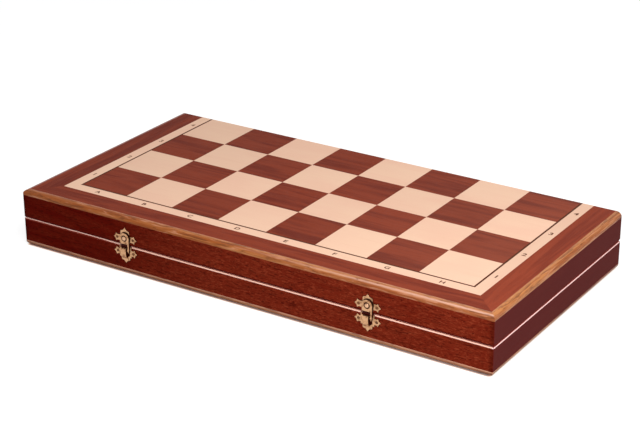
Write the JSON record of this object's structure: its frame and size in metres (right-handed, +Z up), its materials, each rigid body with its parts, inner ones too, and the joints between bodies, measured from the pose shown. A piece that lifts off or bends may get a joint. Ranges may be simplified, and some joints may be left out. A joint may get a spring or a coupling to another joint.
{
  "type": "chess box with hinged lid",
  "caption": "Flat wooden box whose two hinged trays fold out into a chess board, held shut at the front by small brass hook clasps.",
  "frame": {"origin": "middle of the box's lower face, where it rests when closed", "axes": "+X along the files a to h, to the right seen from the front; +Y from the front with the clasps to the back with the hinges; +Z up"},
  "size_m": [0.478, 0.2441, 0.054],
  "materials": {
    "mahogany_veneer": "dark red-brown veneer with straight streaked grain, satin lacquer",
    "maple_veneer": "pale pinkish maple or sycamore veneer, fine grain, satin lacquer",
    "dark_line": "dark dyed stringing line",
    "natural_lipping": "natural ochre hardwood with open grain, clear lacquer",
    "plywood": "birch plywood",
    "stained_wall": "red-brown stained hardwood with fine pores, semi-gloss lacquer",
    "maple_rim": "pale bare maple, sanded",
    "stained_rim": "stained hardwood, sanded",
    "felt": "dark green wool felt",
    "brass": "pale antique brass plating, tumbled edges",
    "steel_pin": "plain steel wire"
  },
  "bodies": {
    "lower_half": {"left_catch_plate": "brass", "left_catch_plate_nails": "brass", "left_hinge_pin": "steel_pin", "lower_back_wall": "stained_wall", "lower_dark_border": "mahogany_veneer", "lower_dark_squares": "mahogany_veneer", "lower_felt_lining": "felt", "lower_front_moulding": "natural_lipping", "lower_front_wall": "stained_wall", "lower_hinge_screws": "brass", "lower_left_hinge_leaf": "brass", "lower_left_moulding": "natural_lipping", "lower_left_wall": "stained_wall", "lower_light_border": "maple_veneer", "lower_light_squares": "maple_veneer", "lower_line_inlay": "dark_line", "lower_panel_core": "plywood", "lower_right_hinge_leaf": "brass", "lower_right_moulding": "natural_lipping", "lower_right_wall": "stained_wall", "lower_rim_strips": "maple_rim", "right_catch_plate": "brass", "right_catch_plate_nails": "brass", "right_hinge_pin": "steel_pin"},
    "left_hook": {"left_clasp_hook": "brass"},
    "upper_half": {"left_clasp_plate": "brass", "left_clasp_plate_nails": "brass", "left_clasp_rivet": "brass", "right_clasp_plate": "brass", "right_clasp_plate_nails": "brass", "right_clasp_rivet": "brass", "upper_back_wall": "stained_wall", "upper_dark_border": "mahogany_veneer", "upper_dark_squares": "mahogany_veneer", "upper_felt_lining": "felt", "upper_front_moulding": "natural_lipping", "upper_front_wall": "stained_wall", "upper_hinge_screws": "brass", "upper_left_hinge_leaf": "brass", "upper_left_moulding": "natural_lipping", "upper_left_wall": "stained_wall", "upper_light_border": "maple_veneer", "upper_light_squares": "maple_veneer", "upper_line_inlay": "dark_line", "upper_panel_core": "plywood", "upper_right_hinge_leaf": "brass", "upper_right_moulding": "natural_lipping", "upper_right_wall": "stained_wall", "upper_rim_strips": "stained_rim"},
    "right_hook": {"right_clasp_hook": "brass"}
  },
  "joints": [
    {"name": "lid_hinge", "type": "hinge", "parent": "lower_half", "child": "upper_half", "pos_m": [0, 0.1196, 0.027], "axis": [-1, 0, 0], "range_deg": [0, 180]},
    {"name": "left_hook_swing", "type": "hinge", "parent": "upper_half", "child": "left_hook", "pos_m": [-0.1222, -0.1195, 0.0341], "axis": [0, -1, 0], "range_deg": [0, 120]},
    {"name": "right_hook_swing", "type": "hinge", "parent": "upper_half", "child": "right_hook", "pos_m": [0.1253, -0.1195, 0.0341], "axis": [0, -1, 0], "range_deg": [0, 120]}
  ]
}
